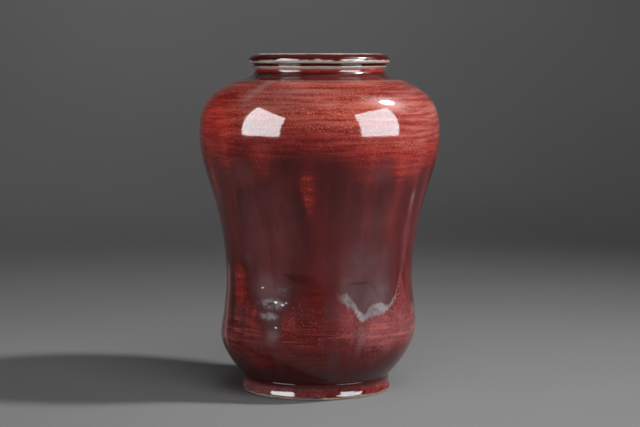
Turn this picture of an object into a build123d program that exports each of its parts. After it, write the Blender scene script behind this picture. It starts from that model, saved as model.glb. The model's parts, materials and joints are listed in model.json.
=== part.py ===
"""A wide-mouthed baluster vase of glazed stoneware, 300 mm tall.

The vessel is made the way a potter makes one of this size: a turned foot ring, a
floor disc, two thrown body sections with six pressed flutes, a shoulder dome, a neck
collar and a rolled mouth rim, all butted edge to edge and luted with slip.  Coats of
glaze then cover the outside, the inside and the recessed base, and stop short of the
edge that the foot stands on.

Frame: millimetres, +Z up, origin at the centre of the circle the foot stands on.
The middle rib of the front faces -Y; flutes are centred on +X, -X and every 60 degrees.
The pot sagged a little in the kiln: its foot sits 3 mm to the -X side of its mouth.
"""

import math
import os

from build123d import *

# ---------------------------------------------------------------- driving dimensions
HEIGHT = 300.0  # foot to crest of the lip

GLAZE_BODY = 0.8  # thickness of the body's glaze, square to the wall
GLAZE_NECK = 0.55  # glaze on the neck and lip
GLAZE_FOOT = 0.6  # glaze on the side of the foot
GLAZE_BASE = 0.6  # glaze under the base
GLAZE_LINER = 0.6  # glaze on the inside wall and floor

FLUTES = 6  # pressed flutes round the waist
SECTION_POINTS = 48  # points on each cross-section of the body
VALLEY_CREASE_Z = 60.0  # below this the valleys between petals are narrow creases
VALLEY_FLUTE_Z = 112.0  # above this they are flutes as wide as a sixth of the body
VALLEY_EASE = 0.04  # rounding of the change at both heights, as a share of the rise between
CREASE_ROUND = 0.08  # rounding of the bottom of a crease

# Where the clay sections are parted, bottom and top of each slip joint.
FOOT_LUTE = (12.5, 13.5)
WAIST_LUTE = (116.0, 117.0)
SHOULDER_LUTE = (231.5, 232.5)
NECK_LUTE = (275.3, 276.3)
RIM_LUTE = (287.3, 288.0)

# Foot ring and floor
FOOT_X = -3.0  # the foot's centre
FOOT_INNER_R = 54.0  # inside of the foot ring
FOOT_REBATE_R = 57.0  # seat for the floor disc
FOOT_REBATE_Z = 6.5  # height of that seat, which is the depth of the recessed base
FOOT_FACE_IN = 55.4  # flat ring that the vase stands on, inner radius
FOOT_FACE_OUT = 64.4  # and outer radius
GLAZE_LINE_Z = 1.5  # the foot is bare clay below this
FLOOR_OPEN_R = 50.0  # floor showing inside the lower body

THROAT_R = 49.0  # glazed bore of the neck
CREST_R = 51.5  # crest of the lip

# Outside of the glaze at the middle of a flute, (z, r).  The first and last rows lie
# beyond the body's ends and only carry the curve on.
BODY_PROFILE = [
    (10.0, 61.9), (13.5, 65.2), (17.5, 68.7), (21.2, 71.8), (28.6, 77.1), (36.0, 81.4),
    (43.3, 84.9), (50.0, 86.7), (57.0, 87.1), (66.0, 86.55), (75.0, 85.6), (84.0, 84.45),
    (92.0, 83.6), (100.0, 83.2), (110.0, 83.35), (120.0, 83.95), (134.0, 85.55),
    (148.0, 88.0), (162.5, 91.35), (177.0, 95.55), (191.0, 100.1), (205.0, 104.1),
    (216.0, 106.35), (225.0, 107.1), (233.0, 107.3), (241.0, 106.75), (248.0, 105.15),
    (254.0, 102.7), (258.8, 99.9), (262.3, 97.1), (265.9, 93.3), (269.4, 88.1),
    (271.5, 84.3), (273.2, 80.9), (275.0, 76.9), (276.3, 73.6), (278.0, 68.6),
]  # fmt: skip

# How deep a valley is at its middle where it is a flute, (z, depth).
FLUTE_DEPTH = [
    (10.0, 0.0), (30.0, 0.0), (50.0, 4.6), (115.0, 4.6), (127.0, 4.3), (141.0, 3.7),
    (155.0, 2.9), (170.0, 2.0), (184.0, 1.1), (197.0, 0.4), (208.0, 0.0), (278.0, 0.0),
]  # fmt: skip

# How deep a valley is at its middle where it is a crease, (z, depth).
CREASE_DEPTH = [
    (10.0, 0.0), (16.0, 0.0), (23.0, 0.55), (31.0, 1.2), (42.0, 1.7), (56.0, 1.85),
    (112.0, 1.85), (140.0, 0.0), (278.0, 0.0),
]  # fmt: skip

# How much fuller the front and back are than the sides just below the waist, (z, step).
FRONT_FILL = [
    (10.0, 0.0), (57.0, 0.0), (66.0, 0.05), (75.0, 0.25), (84.0, 0.72), (92.0, 0.98),
    (100.0, 0.83), (106.0, 0.42), (111.0, 0.08), (116.0, 0.0), (278.0, 0.0),
]  # fmt: skip

# How much shallower the front and back flutes are than the side ones, (z, step).
VALLEY_FILL = [
    (10.0, 0.0), (62.0, 0.0), (70.0, 0.1), (75.0, 0.23), (84.0, 0.36), (92.0, 0.45),
    (98.0, 0.52), (101.0, 0.57), (104.0, 0.72), (107.0, 0.86), (110.0, 0.97), (113.0, 0.94),
    (116.0, 0.84), (122.0, 0.63), (128.0, 0.42), (135.0, 0.19), (142.0, 0.06), (150.0, 0.0),
    (278.0, 0.0),
]  # fmt: skip

# How far the body's centre is along X, (z, x): it comes in over the foot below the belly.
LEAN = [
    (0.0, FOOT_X), (14.0, FOOT_X), (30.0, -2.8), (44.0, -2.4), (50.0, -1.9), (56.0, -1.2),
    (62.0, -0.55), (70.0, 0.0), (300.0, 0.0),
]  # fmt: skip

# Heights of the body's cross-sections.
SECTION_Z = [
    10.0, 13.5, 18.0, 24.0, 31.0, 38.0, 45.0, 51.0, 56.0, 60.0, 64.5, 70.0, 76.0, 82.0,
    88.0, 94.0, 100.0, 105.5, 110.0, 114.0, 119.0, 127.0, 141.0, 156.0, 171.0, 186.0,
    200.0, 212.0, 222.0, 232.0, 241.0, 248.5, 255.0, 260.0, 264.0, 267.5, 270.5, 273.0,
    275.0, 276.4, 278.0,
]  # fmt: skip

# Outside of the glaze from the shoulder's edge to the crest of the lip, (r, z).
NECK_PROFILE = [
    (73.6, 276.3), (68.9, 277.35), (65.3, 278.4), (62.4, 279.7), (60.0, 281.3),
    (58.4, 283.1), (57.65, 285.0), (57.9, 286.4), (58.9, 287.4), (59.8, 288.5),
    (59.45, 289.6), (58.7, 290.25), (59.7, 290.8), (61.7, 291.5), (62.95, 293.1),
    (62.9, 295.0), (61.9, 296.8), (59.9, 298.2), (57.2, 299.2), (54.2, 299.8), (51.5, 300.0),
]  # fmt: skip

# Inside of the clay from the floor joint to the foot of the throat, (r, z).
CAVITY_PROFILE = [
    (50.0, 13.5), (56.5, 16.2), (62.5, 20.6), (68.5, 27.0), (73.6, 34.5), (77.6, 43.0),
    (79.9, 52.0), (80.6, 60.0), (80.1, 70.0), (78.9, 80.0), (77.6, 90.0), (77.0, 100.0),
    (77.1, 110.0), (77.7, 120.0), (79.3, 134.0), (81.7, 148.0), (84.7, 162.5),
    (88.8, 177.0), (93.4, 191.0), (97.5, 205.0), (99.9, 216.0), (100.8, 225.0),
    (101.0, 233.0), (100.3, 241.0), (98.4, 248.0), (95.0, 255.0), (91.6, 259.5),
    (87.0, 263.7), (81.0, 267.2), (74.0, 269.9), (66.0, 271.9), (58.5, 273.5),
    (53.6, 275.2), (50.9, 277.5), (49.85, 280.2), (49.6, 283.0),
]  # fmt: skip
THROAT_TOP_Z = 297.5  # where the throat starts to round over into the lip


# ---------------------------------------------------------------- curves
def natural_spline(knots):
    """A smooth function through (x, y) knots: natural cubic spline."""
    xs = [k[0] for k in knots]
    ys = [k[1] for k in knots]
    n = len(xs)
    h = [xs[i + 1] - xs[i] for i in range(n - 1)]
    low, diag, up, rhs = [0.0] * n, [1.0] * n, [0.0] * n, [0.0] * n
    for i in range(1, n - 1):
        low[i], diag[i], up[i] = h[i - 1], 2 * (h[i - 1] + h[i]), h[i]
        rhs[i] = 6 * ((ys[i + 1] - ys[i]) / h[i] - (ys[i] - ys[i - 1]) / h[i - 1])
    for i in range(1, n):
        f = low[i] / diag[i - 1]
        diag[i] -= f * up[i - 1]
        rhs[i] -= f * rhs[i - 1]
    m = [0.0] * n
    for i in range(n - 2, 0, -1):
        m[i] = (rhs[i] - up[i] * m[i + 1]) / diag[i]

    def at(x):
        i = max(0, min(n - 2, next((k for k in range(n - 1) if x <= xs[k + 1]), n - 2)))
        a, b = (xs[i + 1] - x) / h[i], (x - xs[i]) / h[i]
        return a * ys[i] + b * ys[i + 1] + ((a**3 - a) * m[i] + (b**3 - b) * m[i + 1]) * h[i] ** 2 / 6

    return at


def gentle(knots):
    """A function through (x, y) knots that never overshoots them: monotone cubic."""
    xs = [k[0] for k in knots]
    ys = [k[1] for k in knots]
    n = len(xs)
    d = [(ys[i + 1] - ys[i]) / (xs[i + 1] - xs[i]) for i in range(n - 1)]
    s = [0.0] * n
    for i in range(1, n - 1):
        if d[i - 1] * d[i] > 0:
            s[i] = 2 * d[i - 1] * d[i] / (d[i - 1] + d[i])

    def at(x):
        i = max(0, min(n - 2, next((k for k in range(n - 1) if x <= xs[k + 1]), n - 2)))
        h = xs[i + 1] - xs[i]
        t = (x - xs[i]) / h
        return (
            ys[i] * (1 + 2 * t) * (1 - t) ** 2
            + s[i] * h * t * (1 - t) ** 2
            + ys[i + 1] * t * t * (3 - 2 * t)
            + s[i + 1] * h * t * t * (t - 1)
        )

    return at


flute_middle_r = natural_spline(BODY_PROFILE)
flute_depth = gentle(FLUTE_DEPTH)
crease_depth = gentle(CREASE_DEPTH)
front_fill = gentle(FRONT_FILL)
valley_fill = gentle(VALLEY_FILL)
lean = gentle(LEAN)


def opening(z):
    """0 where the valleys between petals are narrow creases, 1 where they are wide flutes."""
    t = (z - VALLEY_CREASE_Z) / (VALLEY_FLUTE_Z - VALLEY_CREASE_Z)
    return 0.5 * (math.hypot(t, VALLEY_EASE) - math.hypot(t - 1, VALLEY_EASE) + 1)


def body_r(angle, z):
    """Radius of the glazed body at an angle from +X, in degrees, and a height."""
    half = 180.0 / FLUTES
    u = abs((angle + half) % (2 * half) - half) / half  # 0 in mid-valley, 1 on a rib
    v = math.hypot(u, CREASE_ROUND) - CREASE_ROUND
    v1 = math.hypot(1.0, CREASE_ROUND) - CREASE_ROUND
    crease = crease_depth(z) * (1 - (1 - v / v1) ** 2)
    rise = math.sin(math.pi / 2 * u) ** 2
    share = opening(z)
    front = 4 / 3 * math.sin(math.radians(angle)) ** 2
    fuller = front * (front_fill(z) + valley_fill(z) * (1 - rise))
    return flute_middle_r(z) + (1 - share) * crease + share * flute_depth(z) * rise + fuller


def glaze_inset(z, thickness):
    """Radial step that gives a coat its thickness square to the sloping wall."""
    slope = (flute_middle_r(z + 0.05) - flute_middle_r(z - 0.05)) / 0.1
    return thickness * math.hypot(1.0, slope)


def body_section(z, inset):
    """One closed cross-section of the body, inset from the glaze's surface."""
    step = 360.0 / SECTION_POINTS
    points = []
    for i in range(SECTION_POINTS):
        a = i * step
        r = body_r(a, z) - inset
        points.append((lean(z) + r * math.cos(math.radians(a)), r * math.sin(math.radians(a)), 0))
    shares = [i / SECTION_POINTS for i in range(SECTION_POINTS + 1)]
    return Edge.make_spline(points, periodic=True, parameters=shares)


def inset_curve(points, amount):
    """The points of an (r, z) curve moved square to it, to the left of its run."""
    moved = []
    for i, (r, z) in enumerate(points):
        r0, z0 = points[max(i - 1, 0)]
        r1, z1 = points[min(i + 1, len(points) - 1)]
        length = math.hypot(r1 - r0, z1 - z0)
        moved.append((r - (z1 - z0) / length * amount, z + (r1 - r0) / length * amount))
    return moved


# ---------------------------------------------------------------- shared cores
# The clay body with no hollow: every clay section and the glaze share its surface.
with BuildPart() as clay_core:
    for z in SECTION_Z:
        with BuildSketch(Plane.XY.offset(z)):
            with BuildLine():
                add(body_section(z, glaze_inset(z, GLAZE_BODY)))
            make_face()
    loft()

# The clay of the neck and lip with no throat.
neck_clay = inset_curve(NECK_PROFILE, GLAZE_NECK)
neck_clay[0] = (flute_middle_r(NECK_LUTE[1]) - glaze_inset(NECK_LUTE[1], GLAZE_BODY), NECK_LUTE[1])
neck_clay[-1] = (CREST_R, HEIGHT - GLAZE_NECK)
with BuildPart() as neck_core:
    with BuildSketch(Plane.XZ):
        with BuildLine():
            rise = Spline(neck_clay)
            Polyline(rise @ 1, (40, HEIGHT - GLAZE_NECK), (40, NECK_LUTE[1]), rise @ 0)
        make_face()
    revolve(axis=Axis.Z)

# The hollow that the clay leaves, floor joint to mouth.
lip_r, lip_z = CREST_R - THROAT_R - GLAZE_LINER, HEIGHT - GLAZE_NECK - THROAT_TOP_Z
lip_middle = (CREST_R - lip_r * math.sqrt(0.5), THROAT_TOP_Z + lip_z * math.sqrt(0.5))
with BuildPart() as cavity_core:
    with BuildSketch(Plane.XZ):
        with BuildLine():
            wall = Spline(CAVITY_PROFILE)
            throat = Line(wall @ 1, (THROAT_R + GLAZE_LINER, THROAT_TOP_Z))
            lip = ThreePointArc(throat @ 1, lip_middle, (CREST_R, HEIGHT - GLAZE_NECK))
            Polyline(
                lip @ 1,
                (CREST_R, HEIGHT + 5),
                (0, HEIGHT + 5),
                (0, FOOT_LUTE[0]),
                (FLOOR_OPEN_R, FOOT_LUTE[0]),
                wall @ 0,
            )
        make_face()
    revolve(axis=Axis.Z)

# ---------------------------------------------------------------- clay sections
foot_top_out = flute_middle_r(FOOT_LUTE[1]) - glaze_inset(FOOT_LUTE[1], GLAZE_BODY)
foot_plane = Plane.XZ.shift_origin((FOOT_X, 0, 0))
foot_axis = Axis((FOOT_X, 0, 0), (0, 0, 1))

# Turned foot ring with a seat inside for the floor disc.
with BuildPart() as foot_ring:
    with BuildSketch(foot_plane):
        with BuildLine():
            side = Spline(
                (FOOT_FACE_OUT, 0.0),
                (65.4, 0.7),
                (65.85, 1.9),
                (65.6, 3.5),
                (65.05, 5.2),
                (64.65, 7.0),
                (64.5, 9.0),
                (64.45, 11.0),
                (foot_top_out, FOOT_LUTE[0]),
            )
            Polyline(
                side @ 1,
                (FOOT_REBATE_R, FOOT_LUTE[0]),
                (FOOT_REBATE_R, FOOT_REBATE_Z),
                (FOOT_INNER_R, FOOT_REBATE_Z),
                (FOOT_INNER_R, 1.4),
                (FOOT_FACE_IN, 0.0),
                side @ 0,
            )
        make_face()
    revolve(axis=foot_axis)
foot_ring.part.label = "foot_ring"

# Floor disc, dropped into the foot ring's seat.
with BuildPart() as floor_disc:
    with BuildSketch(Plane.XY.offset(FOOT_REBATE_Z)):
        with Locations((FOOT_X, 0)):
            Circle(FOOT_REBATE_R)
    extrude(amount=FOOT_LUTE[0] - FOOT_REBATE_Z)
floor_disc.part.label = "floor_disc"

# Lower body: six petals with the flutes' lower ends between them.
with BuildPart() as lower_body:
    add(clay_core.part)
    split(bisect_by=Plane.XY.offset(FOOT_LUTE[1]), keep=Keep.TOP)
    split(bisect_by=Plane.XY.offset(WAIST_LUTE[0]), keep=Keep.BOTTOM)
    add(cavity_core.part, mode=Mode.SUBTRACT)
lower_body.part.label = "lower_body"

# Upper body: the waist, where the flutes run up and die away.
with BuildPart() as upper_body:
    add(clay_core.part)
    split(bisect_by=Plane.XY.offset(WAIST_LUTE[1]), keep=Keep.TOP)
    split(bisect_by=Plane.XY.offset(SHOULDER_LUTE[0]), keep=Keep.BOTTOM)
    add(cavity_core.part, mode=Mode.SUBTRACT)
upper_body.part.label = "upper_body"

# Shoulder dome, from the widest line in to the neck.
with BuildPart() as shoulder_dome:
    add(clay_core.part)
    split(bisect_by=Plane.XY.offset(SHOULDER_LUTE[1]), keep=Keep.TOP)
    split(bisect_by=Plane.XY.offset(NECK_LUTE[0]), keep=Keep.BOTTOM)
    add(cavity_core.part, mode=Mode.SUBTRACT)
shoulder_dome.part.label = "shoulder_dome"

# Neck collar with its hollow-curved outside.
with BuildPart() as neck_collar:
    add(neck_core.part)
    split(bisect_by=Plane.XY.offset(RIM_LUTE[0]), keep=Keep.BOTTOM)
    add(cavity_core.part, mode=Mode.SUBTRACT)
neck_collar.part.label = "neck_collar"

# Mouth rim: a small bead below a rolled lip.
with BuildPart() as mouth_rim:
    add(neck_core.part)
    split(bisect_by=Plane.XY.offset(RIM_LUTE[1]), keep=Keep.TOP)
    add(cavity_core.part, mode=Mode.SUBTRACT)
mouth_rim.part.label = "mouth_rim"

# ---------------------------------------------------------------- slip joints
with BuildPart() as foot_lute:
    with BuildSketch(Plane.XY.offset(FOOT_LUTE[0])):
        with Locations((FOOT_X, 0)):
            Circle(foot_top_out)
        Circle(FLOOR_OPEN_R, mode=Mode.SUBTRACT)
    extrude(amount=FOOT_LUTE[1] - FOOT_LUTE[0])
foot_lute.part.label = "foot_lute"

with BuildPart() as waist_lute:
    add(clay_core.part)
    split(bisect_by=Plane.XY.offset(WAIST_LUTE[0]), keep=Keep.TOP)
    split(bisect_by=Plane.XY.offset(WAIST_LUTE[1]), keep=Keep.BOTTOM)
    add(cavity_core.part, mode=Mode.SUBTRACT)
waist_lute.part.label = "waist_lute"

with BuildPart() as shoulder_lute:
    add(clay_core.part)
    split(bisect_by=Plane.XY.offset(SHOULDER_LUTE[0]), keep=Keep.TOP)
    split(bisect_by=Plane.XY.offset(SHOULDER_LUTE[1]), keep=Keep.BOTTOM)
    add(cavity_core.part, mode=Mode.SUBTRACT)
shoulder_lute.part.label = "shoulder_lute"

with BuildPart() as neck_lute:
    add(clay_core.part)
    split(bisect_by=Plane.XY.offset(NECK_LUTE[0]), keep=Keep.TOP)
    split(bisect_by=Plane.XY.offset(NECK_LUTE[1]), keep=Keep.BOTTOM)
    add(cavity_core.part, mode=Mode.SUBTRACT)
neck_lute.part.label = "neck_lute"

with BuildPart() as rim_lute:
    add(neck_core.part)
    split(bisect_by=Plane.XY.offset(RIM_LUTE[0]), keep=Keep.TOP)
    split(bisect_by=Plane.XY.offset(RIM_LUTE[1]), keep=Keep.BOTTOM)
    add(cavity_core.part, mode=Mode.SUBTRACT)
rim_lute.part.label = "rim_lute"

# ---------------------------------------------------------------- coats of glaze
# Body coat, from the foot's junction to the shoulder's edge.
with BuildPart() as body_glaze:
    for z in SECTION_Z:
        with BuildSketch(Plane.XY.offset(z)):
            with BuildLine():
                add(body_section(z, 0.0))
            make_face()
    loft()
    split(bisect_by=Plane.XY.offset(FOOT_LUTE[1]), keep=Keep.TOP)
    split(bisect_by=Plane.XY.offset(NECK_LUTE[1]), keep=Keep.BOTTOM)
    add(clay_core.part, mode=Mode.SUBTRACT)
body_glaze.part.label = "body_glaze"

# Neck coat, over the collar, the bead and the lip as far as its crest.
with BuildPart() as neck_glaze:
    with BuildSketch(Plane.XZ):
        with BuildLine():
            rise = Spline(NECK_PROFILE)
            Polyline(rise @ 1, (CREST_R, NECK_LUTE[1]), rise @ 0)
        make_face()
    revolve(axis=Axis.Z)
    add(neck_core.part, mode=Mode.SUBTRACT)
neck_glaze.part.label = "neck_glaze"

# Foot coat, which ends in a line above the bare standing edge.
with BuildPart() as foot_glaze:
    with BuildSketch(foot_plane):
        with BuildLine():
            side = Spline(
                (66.2, GLAZE_LINE_Z),
                (66.45, 2.2),
                (66.2, 3.5),
                (65.65, 5.2),
                (65.25, 7.0),
                (65.1, 9.0),
                (65.05, 11.0),
                (flute_middle_r(FOOT_LUTE[1]), FOOT_LUTE[1]),
            )
            Polyline(side @ 1, (60.0, FOOT_LUTE[1]), (60.0, GLAZE_LINE_Z), side @ 0)
        make_face()
    revolve(axis=foot_axis)
    add(foot_ring.part, mode=Mode.SUBTRACT)
    add(foot_lute.part, mode=Mode.SUBTRACT)
foot_glaze.part.label = "foot_glaze"

# Liner coat over the floor, the wall and the throat.
liner_curve = inset_curve(CAVITY_PROFILE, GLAZE_LINER)
liner_curve[0] = (50.2, 14.0)
liner_curve[-1] = (THROAT_R, CAVITY_PROFILE[-1][1])
liner_curve = [(44.0, FOOT_LUTE[0] + GLAZE_LINER)] + liner_curve
lip_in = CREST_R - THROAT_R
with BuildPart() as liner_glaze:
    with BuildSketch(Plane.XZ):
        with BuildLine():
            wall = Spline(CAVITY_PROFILE)
            throat = Line(wall @ 1, (THROAT_R + GLAZE_LINER, THROAT_TOP_Z))
            lip = ThreePointArc(throat @ 1, lip_middle, (CREST_R, HEIGHT - GLAZE_NECK))
            crest = Line(lip @ 1, (CREST_R, HEIGHT))
            inner_lip = ThreePointArc(
                crest @ 1,
                (CREST_R - lip_in * math.sqrt(0.5), THROAT_TOP_Z + lip_in * math.sqrt(0.5)),
                (THROAT_R, THROAT_TOP_Z),
            )
            inner_throat = Line(inner_lip @ 1, (THROAT_R, CAVITY_PROFILE[-1][1]))
            inner_wall = Spline(liner_curve)
            Polyline(
                inner_wall @ 0,
                (0, FOOT_LUTE[0] + GLAZE_LINER),
                (0, FOOT_LUTE[0]),
                (FLOOR_OPEN_R, FOOT_LUTE[0]),
                wall @ 0,
            )
        make_face()
    revolve(axis=Axis.Z)
liner_glaze.part.label = "liner_glaze"

# Base coat in the recess under the floor.
with BuildPart() as base_glaze:
    with BuildSketch(Plane.XY.offset(FOOT_REBATE_Z - GLAZE_BASE)):
        with Locations((FOOT_X, 0)):
            Circle(FOOT_INNER_R)
    extrude(amount=GLAZE_BASE)
base_glaze.part.label = "base_glaze"

# ---------------------------------------------------------------- files
os.makedirs("parts", exist_ok=True)
export_step(foot_ring.part, "parts/foot_ring.step")
export_step(floor_disc.part, "parts/floor_disc.step")
export_step(lower_body.part, "parts/lower_body.step")
export_step(upper_body.part, "parts/upper_body.step")
export_step(shoulder_dome.part, "parts/shoulder_dome.step")
export_step(neck_collar.part, "parts/neck_collar.step")
export_step(mouth_rim.part, "parts/mouth_rim.step")
export_step(foot_lute.part, "parts/foot_lute.step")
export_step(waist_lute.part, "parts/waist_lute.step")
export_step(shoulder_lute.part, "parts/shoulder_lute.step")
export_step(neck_lute.part, "parts/neck_lute.step")
export_step(rim_lute.part, "parts/rim_lute.step")
export_step(body_glaze.part, "parts/body_glaze.step")
export_step(neck_glaze.part, "parts/neck_glaze.step")
export_step(foot_glaze.part, "parts/foot_glaze.step")
export_step(liner_glaze.part, "parts/liner_glaze.step")
export_step(base_glaze.part, "parts/base_glaze.step")
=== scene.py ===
"""A red-glazed, fluted stoneware vase on a plain pale floor, between two soft side panels.

Lengths in the tables below are millimetres, in the vase's own frame; meshes are made in metres.
Angles called phi run from -Y, the side that faces the camera, towards +X.
"""

import json
import math

import bpy
import numpy as np
from mathutils import Matrix, Vector


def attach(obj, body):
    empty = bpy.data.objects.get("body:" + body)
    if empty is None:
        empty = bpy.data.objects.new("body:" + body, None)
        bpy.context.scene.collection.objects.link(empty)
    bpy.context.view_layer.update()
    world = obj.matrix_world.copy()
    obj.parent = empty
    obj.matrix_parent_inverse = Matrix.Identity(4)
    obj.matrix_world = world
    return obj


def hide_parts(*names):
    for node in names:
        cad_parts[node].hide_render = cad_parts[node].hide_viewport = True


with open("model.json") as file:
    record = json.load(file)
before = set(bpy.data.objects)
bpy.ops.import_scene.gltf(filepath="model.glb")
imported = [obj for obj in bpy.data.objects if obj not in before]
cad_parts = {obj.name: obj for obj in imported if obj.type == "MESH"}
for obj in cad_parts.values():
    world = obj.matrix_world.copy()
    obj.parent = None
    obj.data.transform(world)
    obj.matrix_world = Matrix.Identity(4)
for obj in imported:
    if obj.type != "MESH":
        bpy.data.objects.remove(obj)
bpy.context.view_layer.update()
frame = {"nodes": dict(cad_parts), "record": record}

MM = 0.001
TAU = 2 * math.pi


# ------------------------------------------------------------------ curves and noise
def natural_spline(knots):
    """Smooth function through (x, y) knots, for arrays."""
    x, y = np.array(knots, float).T
    n = len(x)
    h = np.diff(x)
    a, b = np.eye(n), np.zeros(n)
    for i in range(1, n - 1):
        a[i, i - 1 : i + 2] = h[i - 1], 2 * (h[i - 1] + h[i]), h[i]
        b[i] = 6 * ((y[i + 1] - y[i]) / h[i] - (y[i] - y[i - 1]) / h[i - 1])
    m = np.linalg.solve(a, b)

    def at(v):
        v = np.asarray(v, float)
        i = np.clip(np.searchsorted(x, v) - 1, 0, n - 2)
        p, q = (x[i + 1] - v) / h[i], (v - x[i]) / h[i]
        return p * y[i] + q * y[i + 1] + ((p**3 - p) * m[i] + (q**3 - q) * m[i + 1]) * h[i] ** 2 / 6

    return at


def gentle(knots):
    """Function through (x, y) knots that never overshoots them, for arrays."""
    x, y = np.array(knots, float).T
    d = np.diff(y) / np.diff(x)
    s = np.zeros(len(x))
    both = d[:-1] * d[1:] > 0
    s[1:-1][both] = 2 * d[:-1][both] * d[1:][both] / (d[:-1] + d[1:])[both]

    def at(v):
        v = np.clip(np.asarray(v, float), x[0], x[-1])
        i = np.clip(np.searchsorted(x, v) - 1, 0, len(x) - 2)
        h = x[i + 1] - x[i]
        t = (v - x[i]) / h
        return (
            y[i] * (1 + 2 * t) * (1 - t) ** 2
            + s[i] * h * t * (1 - t) ** 2
            + y[i + 1] * t * t * (3 - 2 * t)
            + s[i + 1] * h * t * t * (t - 1)
        )

    return at


def step(a, b, v):
    """0 below a, 1 above b, smooth between; a may be the larger."""
    t = np.clip((np.asarray(v, float) - a) / (b - a), 0, 1)
    return t * t * (3 - 2 * t)


def lattice(ix, iy, iz, seed):
    """A repeatable number from -1 to 1 for each whole-number point."""
    h = (
        ix.astype(np.uint32) * np.uint32(374761393)
        + iy.astype(np.uint32) * np.uint32(668265263)
        + iz.astype(np.uint32) * np.uint32(2147483647)
        + np.uint32(seed * 974634777 % 4294967291)
    )
    h = (h ^ (h >> np.uint32(13))) * np.uint32(1274126177)
    h = (h ^ (h >> np.uint32(16))) * np.uint32(2246822519)
    h ^= h >> np.uint32(15)
    return h.astype(np.float64) / 2147483647.5 - 1


def noise(x, y, z, seed=0, octaves=1):
    """Smooth repeatable noise, about -1 to 1, with features about one unit across."""
    x, y, z = np.broadcast_arrays(*(np.asarray(v, float) for v in (x, y, z)))
    total, weight, scale = np.zeros(x.shape), 0.0, 1.0
    for k in range(octaves):
        p = [v * scale + 19.7 * k for v in (x, y, z)]
        whole = [np.floor(v) for v in p]
        part = [v - w for v, w in zip(p, whole)]
        part = [t * t * t * (t * (t * 6 - 15) + 10) for t in part]
        whole = [w.astype(np.int64) for w in whole]
        value = 0.0
        for c in range(8):
            o = (c & 1, c >> 1 & 1, c >> 2 & 1)
            w = 1.0
            for t, i in zip(part, o):
                w = w * (t if i else 1 - t)
            value = value + w * lattice(*(a + i for a, i in zip(whole, o)), seed + 31 * k)
        total += value / scale
        weight += 1 / scale
        scale *= 2.0
    return total / weight * 1.4


# ------------------------------------------------------------------ the vase's form
BODY_PROFILE = [
    (10.0, 61.9), (13.5, 65.2), (17.5, 68.7), (21.2, 71.8), (28.6, 77.1), (36.0, 81.4),
    (43.3, 84.9), (50.0, 86.7), (57.0, 87.1), (66.0, 86.55), (75.0, 85.6), (84.0, 84.45),
    (92.0, 83.6), (100.0, 83.2), (110.0, 83.35), (120.0, 83.95), (134.0, 85.55),
    (148.0, 88.0), (162.5, 91.35), (177.0, 95.55), (191.0, 100.1), (205.0, 104.1),
    (216.0, 106.35), (225.0, 107.1), (233.0, 107.3), (241.0, 106.75), (248.0, 105.15),
    (254.0, 102.7), (258.8, 99.9), (262.3, 97.1), (265.9, 93.3), (269.4, 88.1),
    (271.5, 84.3), (273.2, 80.9), (275.0, 76.9), (276.3, 73.6), (278.0, 68.6),
]  # fmt: skip
FLUTE_DEPTH = [
    (10.0, 0.0), (30.0, 0.0), (50.0, 4.6), (115.0, 4.6), (127.0, 4.3), (141.0, 3.7),
    (155.0, 2.9), (170.0, 2.0), (184.0, 1.1), (197.0, 0.4), (208.0, 0.0), (278.0, 0.0),
]  # fmt: skip
CREASE_DEPTH = [
    (10.0, 0.0), (16.0, 0.0), (23.0, 0.55), (31.0, 1.2), (42.0, 1.7), (56.0, 1.85),
    (112.0, 1.85), (140.0, 0.0), (278.0, 0.0),
]  # fmt: skip
FRONT_FILL = [
    (10.0, 0.0), (57.0, 0.0), (66.0, 0.05), (75.0, 0.25), (84.0, 0.72), (92.0, 0.98),
    (100.0, 0.83), (106.0, 0.42), (111.0, 0.08), (116.0, 0.0), (278.0, 0.0),
]  # fmt: skip
VALLEY_FILL = [
    (10.0, 0.0), (62.0, 0.0), (70.0, 0.1), (75.0, 0.23), (84.0, 0.36), (92.0, 0.45),
    (98.0, 0.52), (101.0, 0.57), (104.0, 0.72), (107.0, 0.86), (110.0, 0.97), (113.0, 0.94),
    (116.0, 0.84), (122.0, 0.63), (128.0, 0.42), (135.0, 0.19), (142.0, 0.06), (150.0, 0.0),
    (278.0, 0.0),
]  # fmt: skip
FOOT_X = -3.0
LEAN = [
    (0.0, FOOT_X), (14.0, FOOT_X), (30.0, -2.8), (44.0, -2.4), (50.0, -1.9), (56.0, -1.2),
    (62.0, -0.55), (70.0, 0.0), (300.0, 0.0),
]  # fmt: skip
NECK_PROFILE = [
    (73.6, 276.3), (68.9, 277.35), (65.3, 278.4), (62.4, 279.7), (60.0, 281.3),
    (58.4, 283.1), (57.65, 285.0), (57.9, 286.4), (58.9, 287.4), (59.8, 288.5),
    (59.45, 289.6), (58.7, 290.25), (59.7, 290.8), (61.7, 291.5), (62.95, 293.1),
    (62.9, 295.0), (61.9, 296.8), (59.9, 298.2), (57.2, 299.2), (54.2, 299.8), (51.5, 300.0),
]  # fmt: skip
CAVITY_PROFILE = [
    (50.0, 13.5), (56.5, 16.2), (62.5, 20.6), (68.5, 27.0), (73.6, 34.5), (77.6, 43.0),
    (79.9, 52.0), (80.6, 60.0), (80.1, 70.0), (78.9, 80.0), (77.6, 90.0), (77.0, 100.0),
    (77.1, 110.0), (77.7, 120.0), (79.3, 134.0), (81.7, 148.0), (84.7, 162.5),
    (88.8, 177.0), (93.4, 191.0), (97.5, 205.0), (99.9, 216.0), (100.8, 225.0),
    (101.0, 233.0), (100.3, 241.0), (98.4, 248.0), (95.0, 255.0), (91.6, 259.5),
    (87.0, 263.7), (81.0, 267.2), (74.0, 269.9), (66.0, 271.9), (58.5, 273.5),
    (53.6, 275.2), (50.9, 277.5), (49.85, 280.2), (49.6, 283.0),
]  # fmt: skip
BODY_LOW, BODY_HIGH, TOP = 13.5, 276.3, 300.0

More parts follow.
